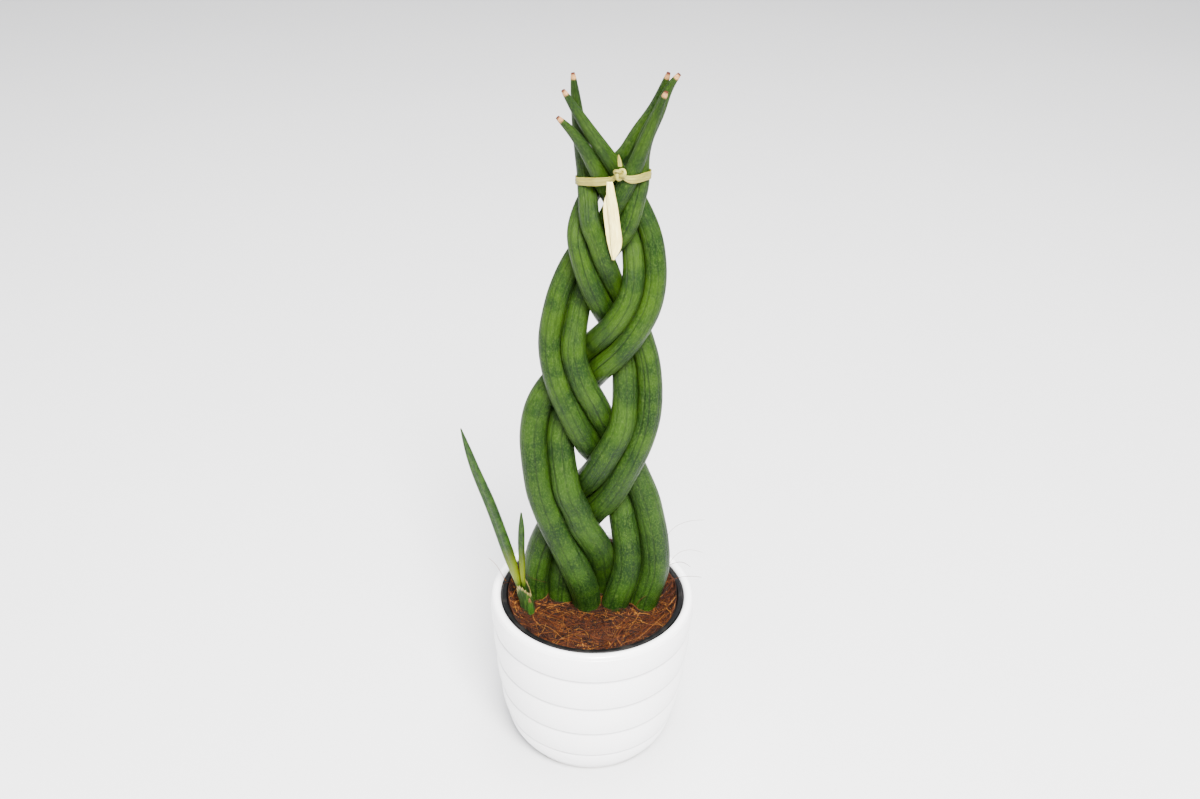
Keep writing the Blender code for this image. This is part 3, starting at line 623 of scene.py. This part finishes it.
def coir_finish(shade):
    """Each strand stores tone, its own place between dark brown and straw."""
    tone, place = shade.stored("tone"), shade.place()
    fine = shade.noise(place, 1500, 2)
    stops = [(0.0, (0.002, 0.0005, 0.0002, 1)), (0.40, (0.014, 0.0028, 0.0004, 1)),
             (0.78, (0.070, 0.0155, 0.0008, 1)), (1.0, (0.31, 0.13, 0.020, 1))]
    return {
        "Base Color": shade.node("ValToRGB", {"stops": stops}, {"Fac": tone + fine * 0.24 - 0.12}),
        "Roughness": 0.7,
        "Specular IOR Level": 0.2,
        "Normal": shade.bump(fine, 0.0002, 0.5),
    }


def strands(name, lines, thickness, tone, finish):
    """Three-sided tubes along many lines at once, all in one mesh, each narrowed to its ends."""
    count, points = lines.shape[:2]
    side, depth = crosswise(lines, (0, 0, 1))
    turn = np.radians([0, 120, 240])
    narrow = 0.35 + 0.65 * np.sin(np.linspace(0.05, 0.95, points) * math.pi) ** 0.5
    wide = (thickness[:, None] * narrow[None])[..., None, None]
    rings = lines[:, :, None] + wide * (
        side[:, :, None] * np.cos(turn)[:, None] + depth[:, :, None] * np.sin(turn)[:, None])
    index = np.arange(count * points * 3).reshape(count, points, 3)
    beside = np.roll(index, -1, axis=2)
    cells = np.stack([index[:, :-1], beside[:, :-1], beside[:, 1:], index[:, 1:]], axis=-1)
    faces = cells.reshape(-1, 4).tolist() + index[:, 0, ::-1].tolist() + index[:, -1].tolist()
    made = put(name, rings.reshape(-1, 3) * MM, faces, finish, {"tone": np.repeat(tone, points * 3)})
    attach(made, "root")
    return made


def clear_of_stems(x, y, reach):
    """Pushes points that are inside a leaf's foot or past the pot's wall to their edge."""
    for foot_x, foot_y, foot_radius in STEM_FEET:
        apart = np.hypot(x - foot_x, y - foot_y) + 1e-6
        push = np.maximum(foot_radius + 0.3, apart) / apart
        x, y = foot_x + (x - foot_x) * push, foot_y + (y - foot_y) * push
    inward = np.minimum(1, reach / (np.hypot(x, y) + 1e-6))
    return x * inward, y * inward


def felt_lines(count, lengths, arches):
    """Strand centrelines: a heading that turns steadily with a wobble, walked step by step."""
    start = np.sqrt(chance.uniform(0, 1, count)) * (COIR_REACH - 1)
    around = chance.uniform(0, 2 * math.pi, count)
    length = chance.uniform(*lengths, count)[:, None]
    walk = np.linspace(0, 1, FIBRE_POINTS)[None]
    turn = chance.normal(0, 1.1, count)[:, None]
    wobble = chance.normal(0, 0.45, count)[:, None]
    wobble = wobble * np.sin(walk * 7 + chance.uniform(0, 6, count)[:, None])
    heading = chance.uniform(0, 2 * math.pi, count)[:, None] + turn * walk + wobble
    step = length / (FIBRE_POINTS - 1)
    x = (start * np.cos(around))[:, None] + np.cumsum(np.cos(heading) * step, axis=1)
    y = (start * np.sin(around))[:, None] + np.cumsum(np.sin(heading) * step, axis=1)
    x, y = clear_of_stems(x, y, COIR_REACH - 0.4)
    arch = chance.uniform(*arches, count)[:, None] * chance.uniform(0.3, 1, count)[:, None]
    lift = arch * np.sin(math.pi * walk) ** 0.8 + chance.uniform(-0.4, 0.7, count)[:, None]
    return np.stack([x, y, ground(x, y) + lift], axis=-1)


coir = finish_of("coir_fibre", coir_finish)
spin = np.linspace(0, 2 * math.pi, FELT_COLUMNS, endpoint=False)[None]
out = np.linspace(0.02, COIR_REACH, FELT_ROWS)[::-1][:, None]
felt_x, felt_y = out * np.cos(spin), out * np.sin(spin)
rough = 0.35 * chance.normal(0, 1, felt_x.shape) + 0.6 * np.sin(felt_x * 1.1 + 2 * np.sin(felt_y * 0.7))
felt_z = ground(felt_x, felt_y) - 0.6 + np.clip(rough, -0.9, 0.9) * (out > 1)
felt_top = np.stack([felt_x, felt_y, felt_z], axis=-1)
felt_wall = felt_top[:1] * (1, 1, 0) + (0, 0, FELT_UNDERSIDE)
felt_rings = np.vstack([felt_wall * (0.001, 0.001, 1), felt_wall, felt_top])
# The mat's tone is kept low, so it shows very dark: painted shade in the gaps between strands.
felt = skin("coir_shade_mat", felt_rings * MM, coir,
            {"tone": np.clip(chance.normal(0.16, 0.10, felt_rings.shape[0] * FELT_COLUMNS), 0, 1)})
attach(felt, "root")
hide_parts("coir_topping")

for name, (count, lengths, thicknesses, arches) in FIBRE_LAYERS.items():
    lines = felt_lines(count, lengths, arches)
    strands(name, lines, chance.uniform(*thicknesses, count),
            chance.beta(1.5, 1.7, count), coir)
stray = np.stack([smooth_path(stations, 26) for _, stations in STRAY_FIBRES])
strands("coir_stray_fibres", stray, np.array([radius for radius, _ in STRAY_FIBRES]),
        chance.uniform(0.55, 0.95, len(stray)), coir)


# ---- pup -----------------------------------------------------------------------------------
# A young shoot at the left edge: two slender leaves, yellow green at the foot and mottled
# above, in a short torn sheath, with a small bright scale leaf in front of it.
# Across, depth, height and radius in millimetres.
PUP_LEAVES = {
    "pup_tall_leaf": [
        (-46.7, -10.5, 121, 1.5), (-48.9, -10.5, 130, 1.9), (-52, -10.5, 143, 3.1),
        (-58, -11, 166, 3.6), (-66, -11, 194, 3.4), (-74, -11, 218, 2.8), (-79, -11, 236, 1.7),
        (-82, -11, 248, 0.4)],
    "pup_short_leaf": [
        (-43.4, -10.6, 121, 1.1), (-45.2, -10.8, 130, 1.4), (-45.8, -11, 142, 1.9),
        (-46.2, -11, 160, 2.1), (-46, -11, 175, 1.8), (-46, -11, 186, 0.5)],
}
PUP_SHEATH = [
    (-41.5, -10.5, 86, 4.9), (-42.5, -10.5, 108, 4.8), (-45, -10.5, 122, 4.6), (-46.9, -10.6, 131, 4.7)]
# Across, depth, height and width. The scale leaf's half thickness, and how far its sides cup back.
SCALE_LEAF = [
    (-40, -16.8, 96, 2.4), (-40, -16.6, 106, 4.2), (-40.3, -16.6, 113, 4.4), (-41, -16.4, 121, 0.8)]
SCALE_THICKNESS, SCALE_CUP = 0.55, 0.9 / 4.4
# The groove down a pup leaf: its depth as a share of the radius, its place and its half width.
PUP_GROOVE, PUP_GROOVE_PLACE, PUP_GROOVE_WIDTH = 0.30, 4.4, 0.5
SHEATH_ROWS, SHEATH_COLUMNS, SHEATH_INSIDE = 60, 96, 0.90


def tube_rings(stations, rows, columns, profile):
    """Rings round a smooth path, and the values to store on them.

    profile gives the share of the radius from the angle and the share of the length.
    """
    path = smooth_path(stations, rows)
    angle = np.linspace(0, 2 * math.pi, columns, endpoint=False)[None]
    reach = path[:, 3:4] * profile(angle, np.linspace(0, 1, rows)[:, None])
    side, depth = crosswise(path[:, :3], (0, 1, 0))
    rings = (path[:, None, :3] + side[:, None] * (reach * np.cos(angle))[..., None]
             + depth[:, None] * (reach * np.sin(angle))[..., None])
    wrap = np.stack([np.cos(angle) + 0 * reach, np.sin(angle) + 0 * reach,
                     path[:, 2:3] / 4 + 0 * angle], axis=-1)
    return rings, {"wrap": wrap.reshape(-1, 3), "height": (path[:, 2:3] + 0 * angle).ravel()}


def pup_finish(shade):
    """Young leaf skin: pale mottled bands over dark green, yellow green low down."""
    wrap, height = shade.stored("wrap", "Vector"), shade.stored("height")
    mottle = shade.noise(shade.stretched(wrap, (0.9, 0.9, 1.1)), 1.0, 4, 0.7).rising(0.46, 0.58)
    flecks = shade.noise(shade.stretched(wrap, (9, 9, 6)), 1.0, 2, 0.6).rising(0.52, 0.66)
    green = mottle.mix((0.0035, 0.015, 0.0008, 1), (0.0125, 0.036, 0.0016, 1))
    green = (flecks * 0.4).mix(green, (0.035, 0.075, 0.006, 1))
    low = (1 - height.rising(130, 164)) * height.rising(126, 136)
    return {
        "Base Color": (low * 0.92).mix(green, (0.100, 0.125, 0.001, 1)),
        "Roughness": 0.42,
        "Specular IOR Level": 0.2,
        "Normal": shade.bump(flecks, 0.0002, 0.5),
    }


def sheath_finish(shade):
    """Sheath skin: dark green below, yellow green ribs and a dry cream torn edge on top."""
    wrap, edge = shade.stored("wrap", "Vector"), shade.stored("edge")
    ribs = shade.noise(shade.stretched(wrap, (7, 7, 0.5)), 1.0, 2).rising(0.4, 0.62)
    green = ribs.mix((0.005, 0.020, 0.001, 1), (0.022, 0.055, 0.003, 1))
    return {
        "Base Color": edge.rising(0.93, 0.99).mix(green, (0.24, 0.19, 0.06, 1)),
        "Roughness": 0.5,
        "Normal": shade.bump(ribs, 0.0004),
    }


def scale_finish(shade):
    """Bright young green with a dried brown tip."""
    wrap, height = shade.stored("wrap", "Vector"), shade.stored("height")
    veins = shade.noise(shade.stretched(wrap, (10, 10, 0.6)), 1.0, 2).rising(0.4, 0.6)
    green = veins.mix((0.014, 0.052, 0.003, 1), (0.032, 0.095, 0.006, 1))
    return {
        "Base Color": height.rising(117, 119.5).mix(green, (0.18, 0.08, 0.025, 1)),
        "Roughness": 0.42,
        "Normal": shade.bump(veins, 0.0003),
    }


def grooved(angle, share):
    """A round leaf with a groove down its inner side, which fades in from the foot."""
    off = np.angle(np.exp(1j * (angle - PUP_GROOVE_PLACE)))
    return 1.04 - PUP_GROOVE * np.exp(-(off / PUP_GROOVE_WIDTH) ** 2) * np.clip(share * 4, 0, 1)


def ribbed(angle, share):
    """The sheath's five low ribs, which turn a little on their way up."""
    return 0.96 + 0.03 * np.cos(5 * angle + share)


pup_skin = finish_of("pup_skin", pup_finish)
for name, stations in PUP_LEAVES.items():
    rings, values = tube_rings(stations, 150, 40, grooved)
    leaf = skin(name.replace("leaf", "skin"), rings * MM, pup_skin, values)
    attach(leaf, "root")
    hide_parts(name)

# The sheath is a tube whose columns are cut to different lengths, for the torn edge, and which
# goes back down inside itself.
rings, values = tube_rings(PUP_SHEATH, SHEATH_ROWS, SHEATH_COLUMNS, ribbed)
around = np.linspace(0, 2 * math.pi, SHEATH_COLUMNS, endpoint=False)
torn = 1.0 - 0.22 * (0.5 + 0.5 * np.sin(around * 2 + 2.1)) - 0.05 * np.sin(around * 9) ** 2
row = np.linspace(0, SHEATH_ROWS - 1, SHEATH_ROWS)[:, None] * torn[None]
below = np.clip(row.astype(int), 0, SHEATH_ROWS - 2)
part, column = (row - below)[..., None], np.arange(SHEATH_COLUMNS)[None]
rings = rings[below, column] * (1 - part) + rings[below + 1, column] * part
middle = rings.mean(axis=1, keepdims=True)
wall = np.concatenate([rings, (middle + (rings - middle) * SHEATH_INSIDE)[::-1]])
edge = np.linspace(0, 1, SHEATH_ROWS)[:, None] + 0 * row
values = {"wrap": np.tile(values["wrap"], (2, 1)), "edge": np.concatenate([edge, edge[::-1]]).ravel()}
sheath = skin("pup_sheath_skin", wall * MM, finish_of("pup_sheath_skin", sheath_finish), values)
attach(sheath, "root")
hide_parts("pup_sheath")

# The scale leaf is a flat oval at each height, with both of its sides bent back.
across, depth, height, width = smooth_path(SCALE_LEAF, 50).T[..., None]
around = np.linspace(0, 2 * math.pi, 40, endpoint=False)[None]
scale_x = across + width / 2 * np.cos(around)
scale_y = depth + SCALE_THICKNESS * np.sin(around) + SCALE_CUP * width * np.cos(around) ** 2
scale_z = height + 0 * around
scale_wrap = np.stack([np.cos(around) + 0 * scale_z, np.sin(around) + 0 * scale_z, scale_z / 4], axis=-1)
scale_leaf = skin("pup_scale_skin", np.stack([scale_x, scale_y, scale_z], axis=-1) * MM,
                  finish_of("pup_scale_skin", scale_finish),
                  {"wrap": scale_wrap.reshape(-1, 3), "height": scale_z.ravel()})
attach(scale_leaf, "root")
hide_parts("pup_scale_leaf")


# ---- raffia tie ----------------------------------------------------------------------------
# A strip of natural raffia goes once round the leaves and is knotted in front. Its ends hang
# loose: a wide pale one that is folded lengthwise, a narrow one under it and a short stub.
RAFFIA_HEIGHT, RAFFIA_RISE, RAFFIA_LIFT = 407, 0.12, 0.22
RAFFIA_WIDTH, RAFFIA_THICKNESS, RAFFIA_STANDOFF = 4.8, 0.5, 0.55
# The band is drawn up and together at the knot: half length, rise and share of the width lost.
PINCH_LENGTH, PINCH_RISE, PINCH_NARROWING = 4.0, 2.6, 0.45
KNOT_CENTRE, KNOT_UNIT, KNOT_STRAND = (10.3, -17, 416.4), 1.0, 0.75
BAND_ROWS, KNOT_ROWS, KNOT_COLUMNS, TAIL_ROWS, RIBBON_POINTS = 260, 160, 20, 90, 15
# Across, depth, height and width along each loose end, in millimetres.
RAFFIA_TAILS = {
    "raffia_long_tail": [
        (5.0, -18.4, 412.5, 3.4), (5.9, -18.5, 404, 5.2), (7.3, -18.2, 394.5, 6.0),
        (8.9, -18, 382.5, 6.4), (9.4, -17.8, 373.5, 5.8), (8.2, -17.7, 366.2, 1.2)],
    "raffia_under_tail": [
        (6.3, -17.4, 409.5, 2), (3.4, -17.3, 399.5, 3), (4.2, -16.8, 387.5, 3.2),
        (6.2, -16.6, 375.5, 3.4), (7.8, -16.5, 365.5, 1)],
    "raffia_short_tail": [
        (10.4, -17.2, 420.9, 2.4), (9.9, -17.4, 424.4, 2), (9.3, -17.6, 427.6, 0.7)],
}


def tie_height(across, depth):
    """Height of the middle of the tilted tie, in millimetres."""
    return RAFFIA_HEIGHT + RAFFIA_RISE * across - RAFFIA_LIFT * depth


def raffia_finish(pale, dull):
    """A recipe for straw between a pale and a dull colour, in fine lengthwise fibres.

    Stored: ply, which has the width in millimetres as X and the length as Z.
    """
    def recipe(shade):
        ply = shade.stored("ply", "Vector")
        fibres = shade.noise(shade.stretched(ply, (3.2, 3.2, 0.09)), 1.0, 3, 0.6)
        stain = shade.noise(shade.stretched(ply, (0.5, 0.5, 0.16)), 1.0, 2).rising(0.45, 0.7)
        straw = fibres.rising(0.35, 0.65).mix(dull, pale)
        return {
            "Base Color": (stain * 0.35).mix(straw, (dull[0] * 0.7, dull[1] * 0.62, dull[2] * 0.6, 1)),
            "Roughness": 0.5,
            "Normal": shade.bump(fibres, 0.0006, 0.7),
        }
    return recipe


def ribbon(name, node, middle, across, outward, width, finish, crease):
    """A closed strip along a line: columns go over its face and back along its underside.

    crease lifts the strip's face in folds that run along it.
    """
    share = np.linspace(-1, 1, RIBBON_POINTS)
    edge = np.r_[share, share[-2:0:-1]]
    back = 1.0 * (np.arange(len(edge)) >= RIBBON_POINTS)
    lift = crease(edge)[None] + (0.5 - back)[None] * RAFFIA_THICKNESS * np.sqrt(1.02 - edge**2)[None]
    rings = (middle[:, None] + across[:, None] * (edge[None] * width[:, None] / 2)[..., None]
             + outward[:, None] * lift[..., None])
    length = np.r_[0, np.cumsum(np.linalg.norm(np.diff(middle, axis=0), axis=1))]
    ply = np.stack([edge[None] * width[:, None] / 2, back[None] + 0 * width[:, None],
                    length[:, None] + 0 * edge[None]], axis=-1)
    made = skin(name, rings * MM, finish, {"ply": ply.reshape(-1, 3)})
    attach(made, "root")
    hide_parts(node)


band_straw = finish_of("raffia_band", raffia_finish((0.28, 0.25, 0.030, 1), (0.14, 0.12, 0.011, 1)))
tail_straw = finish_of("raffia_tail", raffia_finish((0.95, 0.84, 0.33, 1), (0.68, 0.56, 0.14, 1)))

# The band touches whichever leaf reaches furthest in each direction round the plait, taken
# where its tilted plane cuts the leaves.
turns = np.linspace(0, 2 * math.pi, 221)
away = np.c_[np.cos(turns), np.sin(turns)]
centres, reaches = [], []
for name, path in paths.items():
    off = np.abs(path[:, 2] - tie_height(path[:, 0], path[:, 1])) - RAFFIA_WIDTH / 2
    off = np.clip(off, 0, None)
    near = off < radii[name]
    centres.append(path[near, :2])
    reaches.append(np.sqrt(radii[name][near] ** 2 - off[near] ** 2) + RAFFIA_STANDOFF)
centres, reaches = np.concatenate(centres), np.concatenate(reaches)
furthest = (centres @ away.T + reaches[:, None]).argmax(axis=0)
loop = centres[furthest] + away * reaches[furthest][:, None]
steps = np.r_[0, np.cumsum(np.linalg.norm(np.diff(loop, axis=0), axis=1))]
even = np.linspace(0, steps[-1], BAND_ROWS)
loop = np.stack([np.interp(even, steps, axis) for axis in loop.T], axis=1)
facing = np.stack([np.interp(even, steps, axis) for axis in away.T] + [0 * even], axis=1)
facing /= np.linalg.norm(facing, axis=1)[:, None]
pinch = np.exp(-((loop[:, 0] - KNOT_CENTRE[0]) / PINCH_LENGTH) ** 2) * (loop[:, 1] < 0)
line = np.c_[loop, tie_height(loop[:, 0], loop[:, 1]) + PINCH_RISE * pinch]
band_width = RAFFIA_WIDTH * (1 - PINCH_NARROWING * pinch) + 0.25 * np.sin(even / 5)
upwards = np.tile((0, 0, 1.0), (BAND_ROWS, 1))
ribbon("raffia_band_strip", "raffia_band", line, upwards, facing, band_width, band_straw,
       lambda edge: 0.25 + 0.10 * np.cos(edge * 7))

# The knot is a trefoil: (sin t + 2 sin 2t, -sin 3t, cos t - 2 cos 2t) times its unit. Two points
# from each end are repeated past the other end, so that its directions join up smoothly.
bends = np.linspace(0, 2 * math.pi, KNOT_ROWS, endpoint=False)
knot_line = np.c_[np.sin(bends) + 2 * np.sin(2 * bends), -np.sin(3 * bends),
                  np.cos(bends) - 2 * np.cos(2 * bends)] * KNOT_UNIT + KNOT_CENTRE
side, depth = crosswise(np.vstack([knot_line[-2:], knot_line, knot_line[:2]]), (0, 1, 0))
spin = np.linspace(0, 2 * math.pi, KNOT_COLUMNS, endpoint=False)[None]
flat = KNOT_STRAND * (1 + 0.12 * np.cos(spin * 5 + bends[:, None] * 3))
knot_rings = (knot_line[:, None] + side[2:-2, None] * (1.25 * flat * np.cos(spin))[..., None]
              + depth[2:-2, None] * (0.75 * flat * np.sin(spin))[..., None])
index = np.arange(KNOT_ROWS * KNOT_COLUMNS).reshape(KNOT_ROWS, KNOT_COLUMNS)
beside, onward = np.roll(index, -1, axis=1), np.roll(index, -1, axis=0)
knot_faces = np.stack([index, beside, np.roll(beside, -1, axis=0), onward], axis=-1)
knot_ply = np.stack([np.cos(spin) + 0 * flat, np.sin(spin) + 0 * flat,
                     bends[:, None] * 4 + 0 * flat], axis=-1)
knot = put("raffia_knot_loops", knot_rings.reshape(-1, 3) * MM, knot_faces.reshape(-1, 4).tolist(),
           band_straw, {"ply": knot_ply.reshape(-1, 3)})
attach(knot, "root")
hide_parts("raffia_knot")


def folded(edge):
    """The long tail's face: arched, with a ripple of lengthwise pleats."""
    return 0.55 * (1 - edge**2) + 0.10 * np.sin(edge * 9)


def arched(edge):
    """The face of the narrow tails: a plain low arch."""
    return 0.25 * (1 - edge**2)


for name, stations in RAFFIA_TAILS.items():
    path = smooth_path(stations, TAIL_ROWS)
    flat_side = np.tile((1.0, 0, 0), (TAIL_ROWS, 1))
    front = np.cross(flat_side, np.gradient(path[:, :3], axis=0))
    front /= np.linalg.norm(front, axis=1)[:, None]
    front *= -np.sign(front[:, 1:2])
    ribbon(name + "_strip", name, path[:, :3], flat_side, front, path[:, 3],
           band_straw if name == "raffia_short_tail" else tail_straw,
           folded if name == "raffia_long_tail" else arched)
